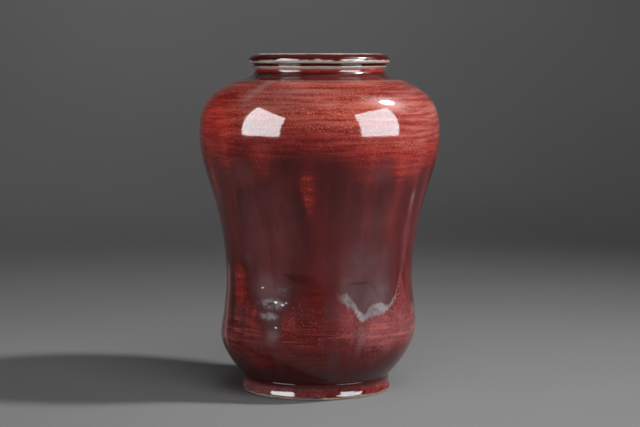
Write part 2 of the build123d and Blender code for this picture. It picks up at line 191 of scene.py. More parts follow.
flute_middle_r = natural_spline(BODY_PROFILE)
flute_depth = gentle(FLUTE_DEPTH)
crease_depth = gentle(CREASE_DEPTH)
front_fill = gentle(FRONT_FILL)
valley_fill = gentle(VALLEY_FILL)
lean = gentle(LEAN)


def flute_u(phi):
    """0 in the middle of a flute, 1 on a rib; phi in radians."""
    return np.abs((np.degrees(phi) - 90 + 30) % 60 - 30) / 30


def opening(z):
    """0 where the valleys between petals are narrow creases, 1 where they are wide flutes."""
    t = (np.asarray(z, float) - 60.0) / 52.0
    return 0.5 * (np.hypot(t, 0.04) - np.hypot(t - 1, 0.04) + 1)


def pressed(u):
    """How much of its full depth a flute has at u."""
    return np.cos(np.pi / 2 * np.minimum(1, u)) ** 2


def body_r(phi, z):
    """Radius of the glazed body as the potter shaped it, before the glaze ran."""
    u, w = flute_u(phi), opening(z)
    v = np.hypot(u, 0.08) - 0.08
    crease = crease_depth(z) * (1 - (1 - v / (math.hypot(1, 0.08) - 0.08)) ** 2)
    flute = flute_depth(z) * (1 - pressed(u))
    fuller = 4 / 3 * np.cos(phi) ** 2 * (front_fill(z) + valley_fill(z) * pressed(u))
    return flute_middle_r(z) + (1 - w) * crease + w * flute + fuller


def along(points, spacing):
    """Points every so often on the smooth curve through (r, z) points."""
    p = np.array(points, float)
    t = np.concatenate([[0], np.cumsum(np.hypot(*np.diff(p, axis=0).T))])
    fine = np.linspace(0, t[-1], 4000)
    r = natural_spline(np.column_stack([t, p[:, 0]]))(fine)
    z = natural_spline(np.column_stack([t, p[:, 1]]))(fine)
    s = np.concatenate([[0], np.cumsum(np.hypot(np.diff(r), np.diff(z)))])
    even = np.linspace(0, s[-1], max(3, int(round(s[-1] / spacing)) + 1))
    return np.interp(even, s, r), np.interp(even, s, z)


def left_of(r, z, amount):
    """A curve moved square to itself, to the left of its run."""
    dr, dz = np.gradient(r), np.gradient(z)
    n = np.hypot(dr, dz)
    return r - dz / n * amount, z + dr / n * amount


# ------------------------------------------------------------------ meshes
def make_mesh(name, verts, quads, tris, attributes):
    """An object from arrays of corners, with one number per corner for each attribute.  Faces
    are turned to look outward."""
    fan = np.vstack([quads[:, [0, 1, 2]], quads[:, [0, 2, 3]], tris])
    p, q, s = (verts[fan[:, c]] for c in range(3))
    if np.sum(p * np.cross(q, s)) < 0:
        quads, tris = quads[:, ::-1], tris[:, ::-1]
    mesh = bpy.data.meshes.new(name)
    mesh.vertices.add(len(verts))
    mesh.vertices.foreach_set("co", (verts * MM).astype(np.float32).ravel())
    loops = np.concatenate([quads.ravel(), tris.ravel()]).astype(np.int32)
    starts = np.concatenate([np.arange(len(quads)) * 4, len(quads) * 4 + np.arange(len(tris)) * 3])
    mesh.loops.add(len(loops))
    mesh.loops.foreach_set("vertex_index", loops)
    mesh.polygons.add(len(starts))
    mesh.polygons.foreach_set("loop_start", starts.astype(np.int32))
    mesh.polygons.foreach_set("use_smooth", np.ones(len(starts), bool))
    for key, values in attributes.items():
        layer = mesh.attributes.new(key, "FLOAT", "POINT")
        layer.data.foreach_set("value", np.broadcast_to(values, len(verts)).astype(np.float32))
    mesh.update(calc_edges=True)
    mesh.validate()
    piece = bpy.data.objects.new(name, mesh)
    bpy.context.scene.collection.objects.link(piece)
    return piece


def turned(name, r, z, n_phi, closed, attributes=None, aside=0.0):
    """A closed surface of rows round the axis.  r and z are rows by phi, and aside moves the
    rows along X.  Closed rows come back to the first row; otherwise the first and last rows
    are capped on the axis."""
    rows = len(r)
    phi = np.arange(n_phi) / n_phi * TAU
    verts = np.stack([r * np.sin(phi) + aside, -r * np.cos(phi), z], axis=-1).reshape(-1, 3)
    i = np.arange(rows if closed else rows - 1)[:, None]
    j = np.arange(n_phi)[None, :]
    a, b = (i % rows) * n_phi, ((i + 1) % rows) * n_phi
    k = (j + 1) % n_phi
    quads = np.stack([a + j, a + k, b + k, b + j], axis=-1).reshape(-1, 4)
    tris = np.zeros((0, 3), int)
    if not closed:
        first, last = len(verts), len(verts) + 1
        verts = np.vstack([verts, [aside, 0, z[0].mean()], [aside, 0, z[-1].mean()]])
        j = j[0]
        top = (rows - 1) * n_phi
        tris = np.vstack(
            [
                np.column_stack([np.full(n_phi, first), (j + 1) % n_phi, j]),
                np.column_stack([np.full(n_phi, last), top + j, top + (j + 1) % n_phi]),
            ]
        )
    made = {}
    for key, values in (attributes or {}).items():
        flat = np.broadcast_to(values, r.shape).reshape(-1)
        made[key] = flat if closed else np.concatenate([flat, [flat[:n_phi].mean(), flat[-n_phi:].mean()]])
    return make_mesh(name, verts, quads, tris, made)


# ------------------------------------------------------------------ body glaze
# Lower edge of the dark glaze in each pressed flute: (phi, z) from rib to rib, all the way round.
FLUTE_EDGE = [
    (0, 101), (6, 97.5), (10, 94.5), (13.9, 89), (20.7, 82), (24.5, 74.6), (27.4, 71.2),
    (31.5, 74.2), (35.5, 75.6), (38.9, 77), (45.7, 80.5), (50.7, 89), (53.2, 100.5), (55, 112.5), (57, 103.5),
    (60.7, 90), (65.7, 82.5), (70.7, 77.3), (78, 72), (86, 66), (89, 62.5), (93, 67), (99, 75),
    (106, 84), (112, 95), (117, 103), (120, 107), (124, 101), (130, 92), (137, 83), (143, 76),
    (148, 71.5), (151, 69), (155, 73), (161, 80), (168, 90), (174, 100), (180, 106), (185, 100),
    (191, 91), (197, 82), (203, 72), (207, 64), (210, 60), (214, 66), (219, 76), (226, 86),
    (233, 97), (240, 109), (245, 101), (251, 91), (258, 84), (264, 77), (268, 72), (271, 70),
    (275, 75), (281, 82), (287, 92), (293, 104), (298, 112), (303, 117), (309, 118), (313.2, 115),
    (315.1, 101), (318.2, 84), (323.2, 72.5), (329.5, 63.5), (335.7, 55), (338.9, 61),
    (341.4, 71), (344.5, 82), (349.5, 92), (353.9, 97.5), (358.2, 100.6), (360, 101),
]  # fmt: skip
# Height where the red of the shoulder gives way to plum.
SHOULDER_EDGE = [
    (0, 217), (10, 216), (18, 211), (22, 210), (27, 203), (31, 205), (36, 206), (40, 201), (44, 192),
    (50, 197), (57, 195), (63, 202), (70, 202), (78, 201), (90, 209), (105, 217), (120, 206),
    (135, 212), (150, 221), (165, 216), (180, 206), (195, 214), (210, 222), (225, 215), (240, 207),
    (255, 218), (270, 213), (282, 208), (288, 206), (294, 204), (300, 202), (307, 205), (312, 199),
    (315, 207), (320, 215), (327, 214), (333, 208), (340, 216), (350, 217), (360, 217),
]  # fmt: skip
# Red runs down through the plum: heights and phi of the middle, half width in degrees, strength.
RUNS = [
    ([(152, 27), (165, 27.2), (190, 27), (214, 26.5)], 3.0, 0.46),
    ([(138, 45.5), (160, 44.6), (185, 44), (214, 43)], 2.8, 0.42),
    ([(190, -28), (204, -27), (214, -26.5)], 4.2, 0.8),
    ([(168, -48.5), (190, -48), (214, -47.5)], 2.2, 0.9),
    ([(172, -64), (190, -65), (214, -65.5)], 4.0, 0.95),
    ([(150, 74), (175, 72), (210, 70)], 3.6, 0.4),
    ([(120, 108), (160, 104), (205, 101)], 2.6, 0.75),
    ([(150, 133), (185, 136), (212, 138)], 3.4, 0.85),
    ([(118, 161), (150, 164), (210, 169)], 2.4, 0.75),
    ([(160, 193), (190, 191), (214, 190)], 3.6, 0.85),
    ([(125, 221), (160, 224), (205, 229)], 2.6, 0.75),
    ([(140, 252), (175, 250), (210, 247)], 3.2, 0.85),
    ([(125, 276), (150, 275), (205, 273)], 2.6, 0.75),
]
# Tongues where the glaze is thin and fiery: heights, phi and half width in degrees, strength.
TONGUES = [
    ([(166, -3.0, 1.3), (177, -4.0, 2.7), (190, -4.6, 3.8), (200, -4.8, 3.0)], 0.72),
    ([(82, -50.8, 3.2), (95, -51.4, 4.6), (107, -51.6, 4.2), (117, -51.2, 2.6)], 0.7),
    ([(88, 55.6, 5.5), (98, 55.4, 3.0), (106, 55.2, 1.6), (112, 55.0, 0.9)], 0.16),
    ([(194, -27, 5.0), (206, -26.5, 5.4), (216, -26, 5.6)], 0.34),
    ([(194, 24, 5.0), (206, 23, 6.4), (218, 22, 8.0)], 0.36),
    ([(190, 44, 3.0), (204, 43.5, 3.8), (218, 43, 4.4)], 0.4),
    ([(184, -65, 2.6), (198, -65.5, 3.6), (212, -66, 4.0)], 0.75),
    ([(168, 124, 1.6), (182, 123, 3.2), (196, 122, 3.6)], 0.5),
    ([(86, 121, 4.5), (98, 120.5, 2.6), (106, 120, 1.0)], 0.4),
    ([(88, 181, 5.0), (98, 180.4, 2.6), (105, 180, 1.0)], 0.4),
    ([(160, 212, 1.4), (178, 213, 3.0), (194, 214, 3.8)], 0.4),
    ([(88, 239, 5.0), (100, 239.6, 2.8), (108, 240, 1.0)], 0.45),
]

N_PHI = 640
phi = (np.arange(N_PHI) / N_PHI * TAU)[None, :]
degrees = np.degrees(phi)

fine_z = np.linspace(BODY_LOW, BODY_HIGH, 6000)
fine_s = np.concatenate([[0], np.cumsum(np.hypot(np.diff(fine_z), np.diff(flute_middle_r(fine_z))))])
z_rows = np.interp(np.linspace(0, fine_s[-1], 380), fine_s, fine_z)[:, None]
z_grid = np.broadcast_to(z_rows, (len(z_rows), N_PHI))
smooth_r = body_r(phi, z_rows)
px, py = np.sin(phi) * smooth_r, -np.cos(phi) * smooth_r
u = flute_u(phi)


def apart(angle):
    """Degrees from an angle, -180 to 180."""
    return (degrees - angle + 180) % 360 - 180


def spot(angle, height, wide, tall, power=1.0):
    """1 at a place on the wall, fading to 0 about wide degrees and tall mm from it."""
    return np.exp(-(((apart(angle) / wide) ** 2 + ((z_rows - height) / tall) ** 2) ** power))


ragged = noise(px / 9, py / 9, z_rows / 14, 3, 3)
v_line = np.interp(degrees, *np.array(FLUTE_EDGE, float).T) + 1.4 * ragged
inside = z_rows - v_line  # mm above the flute's lower edge

# Slow unevenness of the thrown wall, glaze that gathered along each flute's lower edge, puckers
# in the glaze of one flute's tip, and a few burst bubbles.
rings = 0.05 * noise(px / 260, py / 260, z_rows / 9, 11, 2)
wobble = 0.16 * noise(px / 90, py / 90, z_rows / 80, 5)
band_share = np.interp(
    degrees,
    [0, 10, 13, 17, 30, 47, 52, 56, 66, 78, 84, 90, 98, 106, 118, 139, 146, 152, 160, 169, 184, 197, 204, 210, 217, 226, 240, 261, 267, 273, 281, 290, 300, 322, 336, 345, 360],
    [0.0, 0.0, 0.35, 0.95, 1.0, 0.9, 0.3, 0.0, 0.05, 0.3, 0.7, 0.9, 0.6, 0.1, 0.0, 0.05, 0.45, 0.7, 0.6, 0.15, 0.0, 0.1, 0.6, 0.9, 0.5, 0.1, 0.0, 0.1, 0.5, 0.6, 0.2, 0.0, 0.0, 0.0, 0.1, 0.0, 0.0],
)
band_share = band_share * np.clip(0.9 + 0.5 * noise(px / 16, py / 16, z_rows / 30, 49, 2), 0, 1)
band_tall = np.interp(
    degrees,
    [0, 11, 13, 17, 21.8, 24.9, 27.0, 28.4, 31.4, 33.6, 40.9, 46.8, 50, 56, 70, 95, 125, 150, 180, 205, 240, 270, 300, 360],
    [4, 4, 4.5, 11, 7.5, 7, 6.5, 5, 9, 11, 8, 5, 4.4, 4, 5, 8, 4, 9, 4, 10, 5, 7, 4, 4],
)
band_tall = band_tall + 1.6 * noise(px / 6, py / 6, z_rows / 9, 47, 2)
grain = noise(px / 2.6, py / 2.6, z_rows / 2.6, 53, 2)
band = step(-2.4, 1.8, inside + 1.0 * ragged + 1.1 * grain) * step(band_tall + 0.9, band_tall - 1.6, inside + 0.8 * grain)
band = band * np.clip(0.86 + 0.4 * grain, 0, 1)
roll_height = 0.03 * band * band_share
patch = np.clip(spot(-26, 86, 9.0, 5.5, 1.5) + 0.9 * spot(-27.5, 73, 6.5, 6.0, 1.5), 0, 1)
pucker = 0.1 * patch * noise(px / 12, py / 12, z_rows / 4.4, 21, 2)
WRINKLES = [
    (-24.5, 86.4, 5.0, 1.9, 0.22), (-20.5, 84.4, 2.2, 1.2, 0.16), (-28.5, 82.0, 2.4, 1.3, 0.1),
    (-27.0, 74.8, 3.2, 1.8, 0.18), (-20.5, 97.4, 1.6, 1.2, 0.16), (-34.0, 98.2, 1.3, 1.0, 0.14),
]  # fmt: skip
broken = 0.75 + 0.5 * noise(px / 4, py / 4, z_rows / 3, 23, 2)
pucker = pucker + broken * sum(high * spot(a, h, wide, tall) for a, h, wide, tall, high in WRINKLES)
BUBBLES = [
    (-33.9, 98.1), (-20.5, 100.1), (-24.7, 87), (-19.5, 84.8), (-17.7, 86.6), (-31.3, 71), (-23.9, 64.9),
    (-13.4, 82.6), (-6.8, 138.8), (-30.1, 26.9), (27.4, 28.3), (-58.9, 203.4), (-40, 199.5), (41, 118),
    (98, 141), (133, 66), (171, 88), (204, 171), (223, 52), (262, 122), (249, 97), (152, 203), (115, 30),
]  # fmt: skip
bubbles = sum(spot(a, h, 0.75, 1.0) for a, h in BUBBLES)
ends = step(BODY_LOW, BODY_LOW + 5, z_rows) * step(BODY_HIGH, BODY_HIGH - 5, z_rows)
outer_r = smooth_r + (rings + wobble - 0.26 + roll_height + pucker + 0.14 * bubbles) * ends

inner_z = np.linspace(BODY_HIGH, BODY_LOW, 60)[:, None]
slope = (flute_middle_r(inner_z + 0.05) - flute_middle_r(inner_z - 0.05)) / 0.1
inner_r = body_r(phi, inner_z) - 0.72 * np.hypot(1, slope)

# Zones of colour.  Each is 0 to 1.
drift = noise(px / 22, py / 22, z_rows / 16, 41, 3)
lines = noise(px / 38, py / 38, z_rows / 2.4, 45, 2)
edge_z = np.interp(degrees, *np.array(SHOULDER_EDGE, float).T)
above = z_rows - edge_z + 3.5 * drift + 5 * lines
shoulder = step(6, 38, above)
deep = step(-9, 13, above)
# Strokes left by the wheel, spaced along the wall so that they don't widen on the flat of the shoulder.
down = np.hypot(np.diff(smooth_r.mean(axis=1)), np.diff(z_rows[:, 0]))
down = np.concatenate([[0], np.cumsum(down)])[:, None]
stroke = noise(px / 85, py / 85, down / 2.8, 59, 3)
shoulder = shoulder * (1 - 0.8 * step(0.04, 0.4, stroke) * step(206, 240, z_rows))
scarlet = np.clip(spot(-64, 236, 22, 40, 2.0) + spot(150, 236, 26, 30) + spot(235, 240, 24, 32), 0, 1)
salmon = np.clip(spot(62, 246, 26, 34, 2.0) + 0.6 * spot(-18, 262, 16, 12) + 0.7 * spot(190, 250, 30, 26), 0, 1)
salmon = np.clip(salmon + 0.55 * step(0.06, 0.42, -stroke) * step(232, 262, z_rows), 0, 1)


def strip(path, power=2.0):
    """1 along a line down the wall given as heights, phi and half width, fading to its sides."""
    knots = np.array(path, float)
    middle, half = (np.interp(z_rows[:, 0], knots[:, 0], knots[:, c])[:, None] for c in (1, 2))
    return np.exp(-(np.abs((apart(middle) + 0.5 * drift) / half) ** power))


red = np.zeros_like(smooth_r)
for path, half, strength in RUNS:
    reach = step(path[0][0] - 16, path[0][0] + 12, z_rows)
    red = np.maximum(red, strength * strip([(*p, half) for p in path]) * reach * (0.85 + 0.3 * drift))
ribs = step(0.6, 1.0, u) * step(214, 190, z_rows) * (0.08 + 0.25 * drift)
blush = np.clip(0.6 * spot(-27, 150, 15, 48, 2.0) + 0.75 * spot(-58, 165, 9, 45) + 0.35 * spot(146, 150, 14, 40) + 0.3 * spot(-30, 100, 11, 14, 2.0) + 0.7 * spot(46, 203, 11, 8) + 0.8 * spot(-50, 200, 9, 12) + 0.3 * spot(-36, 198, 8, 11) + 0.3 * spot(31, 198, 8, 11), 0, 1)
red = np.clip(np.maximum(np.maximum(red, ribs), blush * (0.8 + 0.4 * drift)), 0, 1) * step(-2, 8, inside)
tongue = np.zeros_like(smooth_r)
for path, strength in TONGUES:
    reach = step(path[0][0] - 6, path[0][0] + 6, z_rows) * step(path[-1][0] + 3, path[-1][0] - 3, z_rows + 2 * lines)
    tongue = np.maximum(tongue, strength * strip(path, 3.0) * reach * np.clip(0.8 + 0.9 * lines, 0, 1.2))
tongue = np.maximum(tongue, (0.42 * spot(-39.5, 74, 2.6, 9) + 0.46 * spot(-15.5, 70, 4.2, 9)) * np.clip(0.9 + 0.8 * grain, 0, 1))
# Painted light: a brighter patch low on the left edge, below the painted rim highlight.
tongue = np.maximum(tongue, 0.16 * spot(-59, 56, 6, 11))
soft = np.interp(
    degrees,
    [0, 8, 14, 50, 60, 80, 100, 280, 300, 312, 322, 346, 352, 360],
    [2.6, 2.0, 1.1, 1.1, 1.3, 1.6, 1.3, 1.3, 1.8, 2.6, 3.2, 3.2, 2.8, 2.6],
)
low = 8 * np.exp(-((apart(-44) / 13) ** 2)) + 6 * np.exp(-((apart(38) / 13) ** 2))
plum = 0.55 * spot(11.5, 42, 4.2, 22, 2.0) + 0.5 * spot(-22, 38, 3.4, 18, 2.0) + 0.5 * spot(-47.5, 66, 2.8, 22, 2.0) + 0.35 * spot(4.5, 62, 2.0, 26, 2.0)
petal = step(2.5 * soft, -3.5 * soft, inside + 1.2 * ragged) * step(20, 46, z_rows + low + 9 * drift)
# Painted shade: a dark line down the left side, between the fiery tongue and the painted highlight on the left rib; it
# also holds back the petal colour there.
shade_line = np.exp(-((apart(-58.8) / 2.4) ** 2)) * step(56, 68, z_rows) * step(116, 108, z_rows)
petal = petal * (1 - 0.6 * spot(8.5, 84, 4.6, 19, 2.0)) * (1 - 0.9 * shade_line) * (1 - plum)
pink = np.interp(
    degrees,
    [0, 8, 14, 20, 30, 45, 60, 74, 90, 120, 160, 200, 240, 280, 312, 322, 332, 343, 350, 360],
    [0.04, 0.06, 0.5, 0.75, 0.9, 1.0, 0.95, 0.85, 0.5, 0.75, 0.3, 0.6, 0.2, 0.35, 0.3, 0.4, 0.2, 0.3, 0.25, 0.04],
)
pink = pink * petal * step(30, 62, z_rows + low + 6 * drift) * (0.9 + 0.35 * drift)
hoop = np.interp(
    degrees,
    [0, 9, 16, 27, 33, 60, 86, 90, 96, 145, 152, 158, 205, 211, 217, 264, 270, 278, 306, 318, 330, 340, 350, 360],
    [0.35, 0.3, 0.5, 0.1, 1.0, 1.0, 0.7, 0.1, 0.8, 0.8, 0.1, 0.9, 0.7, 0.1, 0.8, 0.6, 0.1, 0.8, 1.0, 0.4, 0.05, 0.7, 0.5, 0.35],
)
hoop = hoop * petal * np.exp(-(((z_rows - 60) / 12) ** 2)) * (0.7 + 0.5 * drift)
crease_line = np.exp(-((apart(25.9) / 2.0) ** 2)) * step(0, -5, inside) * step(34, 50, z_rows)
# Painted highlight: a streak down the right rib where a reflection runs along it, added to the pink and pale masks.
column = strip([(104, 55.2, 1.2), (120, 56.4, 2.2), (140, 57.4, 2.4), (165, 57.8, 2.0), (184, 58.2, 0.8)])
column = column * step(98, 112, z_rows) * step(186, 178, z_rows)
# The pink mask also takes the right rib's painted highlight and a painted light patch low on the left edge.
pink = np.maximum(np.maximum(pink, 0.3 * column), 0.5 * spot(-58, 57, 6, 11) + 0.3 * spot(63, 94, 4, 14))
pink = np.maximum(pink, 0.55 * spot(-39.5, 74, 2.6, 9) + 0.75 * spot(-15.5, 70, 4.2, 9))
pale = 0.95 * band * band_share + 0.15 * crease_line + 0.3 * spot(-25.5, 58, 4.0, 7.0)
# Painted sheen: lilac-white glints on the puckered patch at the left flute's tip, where the left screen shows in the
# wrinkled glaze; it goes into the pale mask.
sheen = 0.42 * spot(-27.5, 86.2, 8.6, 4.6, 2.0) + 0.36 * spot(-29, 75.2, 6.0, 3.4, 2.0) + 0.14 * spot(-20, 97, 4, 4)
pale = pale + 1.9 * sheen * np.clip(0.62 + 1.0 * grain + 0.4 * noise(px / 5, py / 5, z_rows / 2.6, 25, 2), 0, 1)
pale = pale + 0.11 * spot(-30, 100, 11, 14, 2.0)
pale = pale + 0.2 * strip([(250, -40, 2.4), (266, -36, 3.4), (276, -33, 4.0)]) * step(250, 264, z_rows)
# The right rib's painted highlight, with a brighter painted tip near its top.
pale = np.clip(np.maximum(pale, 0.03 * column + 0.2 * spot(58, 176, 1.4, 7.0)), 0, 1)
# Painted highlight: a salmon line down the left rib's edge, where the left screen's reflection falls on the glaze.
rim_highlight = strip([(42, -63.0, 1.8), (62, -67.0, 2.4), (84, -66.5, 2.2), (104, -64.8, 1.8), (116, -63.6, 1.2)])
rim_highlight = rim_highlight * step(38, 50, z_rows) * step(122, 110, z_rows)
dark = np.maximum(step(44, 17, z_rows + 7 * drift), 0.34 * step(248, 268, z_rows))
dark = np.maximum(dark, 0.08 * spot(25.5, 92, 5.5, 8.5, 2.0) * step(5, 9, inside))
dark = np.maximum(dark, 0.6 * spot(25.5, 104, 8.0, 1.5, 2.0))
wedge = step(113.2, 112.0, z_rows + 0.7 * grain) * step(0, 2.6, z_rows - 112.3 + 9.0 * np.clip(apart(-22.3) / 11, 0, 1))
wedge = wedge * step(-23.5, -21, apart(0)) * step(2, -8, apart(0))
dark = np.maximum(dark, 0.75 * wedge)
dark = np.maximum(dark, 0.6 * np.clip(spot(-50, 116, 5.0, 5.0) + spot(65, 150, 3.6, 48, 2.0) + 0.7 * spot(53.5, 170, 2.4, 18), 0, 1))
# Painted shade line beside the left rib's painted highlight.
dark = np.maximum(dark, 0.42 * shade_line)
# Painted shade down the right edge of the waist.
dark = np.maximum(dark, 0.5 * spot(77, 188, 6, 26, 2.0))
dark = np.maximum(dark, 0.5 * spot(48, 132, 5.5, 40, 2.0))
dark = np.maximum(dark, 0.34 * spot(7, 112, 6, 42, 2.0))
dark = np.maximum(dark, 0.3 * spot(18, 138, 7, 24, 2.0))
# Mauve veil low in the flutes and over the puckered patch: partly mauve glaze, partly a painted reflection of the
# floor.
mauve = 0.4 * pressed(u) * step(222, 130, z_rows) + 0.4 * spot(27, 112, 14, 22, 1.5)
mauve = mauve + 0.22 * spot(-28, 150, 20, 45, 2.0)
mauve = np.maximum(mauve, step(136, 94, z_rows + 4 * drift) * step(23, 13, np.abs(apart(31))))
mauve = np.maximum(mauve, 0.6 * spot(-43, 124, 5, 9))
mauve = np.maximum(mauve, 0.6 * spot(44, 117, 7.0, 26, 2.0))
mauve = np.maximum(mauve, 0.2 * spot(9, 112, 7, 26, 2.0))
mauve = np.maximum(mauve, 0.4 * spot(-50, 198, 9, 14) + 0.45 * spot(-37, 198, 8, 12) + 0.45 * spot(31, 198, 8, 12))
mauve = np.maximum(mauve, 0.85 * step(116, 104, z_rows) * spot(-28, 96, 13, 22, 2.0))
mauve = mauve * step(-1 - 3 * soft, 6, inside) * (0.9 + 0.25 * drift)
mauve = np.maximum(mauve, 0.4 * spot(8.5, 84, 5.0, 20, 2.0))
mauve = np.clip(np.maximum(np.maximum(mauve, 0.7 * plum), patch), 0, 1)

nothing = np.zeros_like(smooth_r)
zones = {
    "shoulder": shoulder,
    "deep": deep,
    "red": red,
    "tongue": np.clip(tongue, 0, 1),
    "scarlet": scarlet,
    "salmon": salmon,
    "painted_light": 0.9 * rim_highlight,
    "petal": petal,
    "pink": np.clip(pink, 0, 1),
    "hoop": np.clip(hoop * (1 - dark), 0, 1),
    "pale": pale,
    "mauve": mauve,
    "dark": dark,
    "cream": nothing,
    "bare": nothing,
}
n_in = len(inner_z)
body_glaze = turned(
    "body_glaze_coat",
    np.vstack([outer_r, inner_r]),
    np.vstack([z_grid, np.broadcast_to(inner_z, (n_in, N_PHI))]),
    N_PHI,
    True,
    {k: np.vstack([np.broadcast_to(v, outer_r.shape), np.zeros((n_in, N_PHI))]) for k, v in zones.items()},
    np.vstack([lean(z_rows), lean(inner_z)]),
)

# ------------------------------------------------------------------ neck and lip glaze
N_NECK = 480
phi = (np.arange(N_NECK) / N_NECK * TAU)[None, :]
nr, nz = along(NECK_PROFILE, 0.36)
ir, iz = left_of(nr, nz, 0.5)
ir[0], iz[0] = 71.8, 276.3
ir[-1], iz[-1] = 51.5, 299.5
nr, nz, ir, iz = nr[:, None], nz[:, None], ir[::-1, None], iz[::-1, None]
cx, cy = np.sin(phi), -np.cos(phi)
lip = step(290.4, 291.4, nz)
sway = (0.14 * noise(cx * 2.2, cy * 2.2, nz / 9, 61, 2) - 0.12) * step(276.3, 279, nz) * step(300.0, 299.0, nz)
neck_r = nr + sway
neck_z = nz + 0.1 * noise(cx * 3, cy * 3, nz / 14, 63) * step(277, 281, nz) * step(299.9, 298.8, nz)
hem = 293.7 + 1.2 * noise(cx * 3.1, cy * 3.1, 0.4, 67, 2) + 0.5 * noise(cx * 11, cy * 11, 0.9, 69)
cream = step(0.8, -0.6, nz - hem) * step(291.1, 291.9, nz) * (0.93 + 0.12 * noise(cx * 9, cy * 9, nz / 1.5, 64))
on_bead = step(285.75, 287.5, nz + 0.35 * noise(cx * 7, cy * 7, 0.2, 68)) * step(289.2, 288.4, nz)
cream = np.maximum(cream, on_bead * (0.85 + 0.2 * noise(cx * 5, cy * 5, 0.2, 66)))
cream = np.maximum(cream, step(58.5, 56.0, nr + 0.8 * noise(cx * 8, cy * 8, 0.6, 65)) * step(297.5, 298.6, nz))
below_bead = step(283.8, 285.8, nz) * step(287.6, 287.0, nz)
nothing = np.zeros_like(neck_r)
zones = {
    "shoulder": nothing,
    "deep": nothing,
    "red": 0.8 * step(282.6, 284.6, nz) * step(289, 287, nz),
    "tongue": 0.9 * below_bead,
    "scarlet": nothing,
    "salmon": nothing,
    "painted_light": nothing,
    "petal": 0.2 * lip,
    "pink": 0.3 * step(285.8, 287.2, nz) * step(289, 287.6, nz),
    "hoop": nothing,
    "pale": nothing,
    "mauve": 0.2 * step(283.4, 280.5, nz),
    "dark": np.clip(0.65 * step(277.6, 279.0, nz) * step(284.6, 282.2, nz) + 0.9 * lip, 0, 1),
    "cream": np.clip(cream, 0, 1),
    "bare": step(277.4, 276.4, nz),
}
n_in = len(ir)
neck_glaze = turned(
    "neck_glaze_coat",
    np.vstack([neck_r, np.broadcast_to(ir, (n_in, N_NECK))]),
    np.vstack([neck_z, np.broadcast_to(iz, (n_in, N_NECK))]),
    N_NECK,
    True,
    {k: np.vstack([np.broadcast_to(v, neck_r.shape), np.zeros((n_in, N_NECK))]) for k, v in zones.items()},
)

# ------------------------------------------------------------------ foot glaze
foot_side = [(66.2, 1.5), (66.45, 2.2), (66.2, 3.5), (65.65, 5.2), (65.25, 7.0), (65.1, 9.0), (65.05, 11.0), (65.2, 13.5)]
fr, fz = along(foot_side, 0.3)
fr, fz = fr[:, None], fz[:, None]
uneven = 0.5 * noise(cx * 6, cy * 6, 0.7, 71, 3)
foot_z = fz + (uneven + 0.35) * step(4.5, 1.5, fz)
foot_r = fr + (0.1 * noise(cx * 4, cy * 4, fz / 3, 73, 2) - 0.06) * step(13.5, 10, fz)
inside_z = np.linspace(13.5, 1.8, 24)[:, None]
inside_r = np.interp(inside_z, [1.9, 3.5, 5.2, 7.0, 9.0, 11.0, 13.5], [65.9, 65.65, 65.1, 64.7, 64.55, 64.5, 64.2])
inside_z = inside_z + (uneven + 0.35) * step(4.5, 1.5, inside_z)
mottle = noise(cx * 9, cy * 9, fz / 4, 75, 2)
nothing = np.zeros_like(foot_r)
zones = {
    "shoulder": nothing,
    "deep": nothing,
    "red": nothing,
    "tongue": nothing,
    "scarlet": nothing,
    "salmon": nothing,
    # The foot's left side is painted lighter here and with extra pink, standing in for light where the body's overhang
    # shades it.
    "painted_light": 0.16 * step(0.0, -0.6, cx) * step(11, 7, fz),
    "petal": 0.9 * step(12.5, 8.5, fz),
    "pink": np.clip(0.25 + 0.4 * mottle + 1.15 * step(0.2, -0.6, cx), 0, 1) * step(12, 8, fz),
    "hoop": nothing,
    "pale": np.clip(0.7 * step(2.6, 1.7, fz + 0.5 * noise(cx * 14, cy * 14, 0.3, 77)), 0, 1),
    "mauve": nothing,
    # Painted shade at the foot's top, under the body.
    "dark": step(9.0, 12.8, fz),
    "cream": nothing,
    "bare": nothing,
}
n_in = len(inside_z)
foot_glaze = turned(
    "foot_glaze_coat",
    np.vstack([foot_r, np.broadcast_to(inside_r, (n_in, N_NECK))]),
    np.vstack([foot_z, np.broadcast_to(inside_z, (n_in, N_NECK))]),
    N_NECK,
    True,
    {k: np.vstack([np.broadcast_to(v, foot_r.shape), np.zeros((n_in, N_NECK))]) for k, v in zones.items()},
    FOOT_X,
)

# ------------------------------------------------------------------ liner glaze
N_LIN = 360
phi = (np.arange(N_LIN) / N_LIN * TAU)[None, :]
wr, wz = along(CAVITY_PROFILE, 2.0)
quarter = np.linspace(0, math.pi / 2, 10)
arc_r, arc_z = 51.5 - 2.5 * np.cos(quarter), 297.5 + 2.5 * np.sin(quarter)
lr, lz = left_of(wr, wz, 0.6)
lr[0], lz[0] = 50.2, 14.0
lr[-1], lz[-1] = 49.0, wz[-1]
in_r = np.concatenate([np.linspace(1.5, 46.0, 24), lr, np.full(8, 49.0), arc_r])
in_z = np.concatenate([np.full(24, 13.1), lz, np.linspace(wz[-1] + 1.5, 296.0, 8), arc_z])
out_arc_r, out_arc_z = 51.5 - 1.9 * np.cos(quarter), 297.5 + 1.95 * np.sin(quarter)
back_r = np.concatenate([out_arc_r[::-1], np.full(4, 49.6), wr[::-1], [50.0, 25.0, 1.5]])
back_z = np.concatenate([out_arc_z[::-1], np.linspace(295, wz[-1] + 2, 4), wz[::-1], [12.55, 12.55, 12.55]])
spiral = np.sin(TAU * (in_z[:, None] / 7.5) + phi + 0.8 * noise(np.sin(phi), np.cos(phi), in_z[:, None] / 20, 81))
spiral = 0.14 * spiral * step(16, 30, in_z)[:, None] * step(290, 270, in_z)[:, None]
whirl = 0.1 * (1 + np.sin(in_r[:, None] / 46.0 * TAU * 5 + phi)) * (np.arange(len(in_r)) < 22)[:, None]
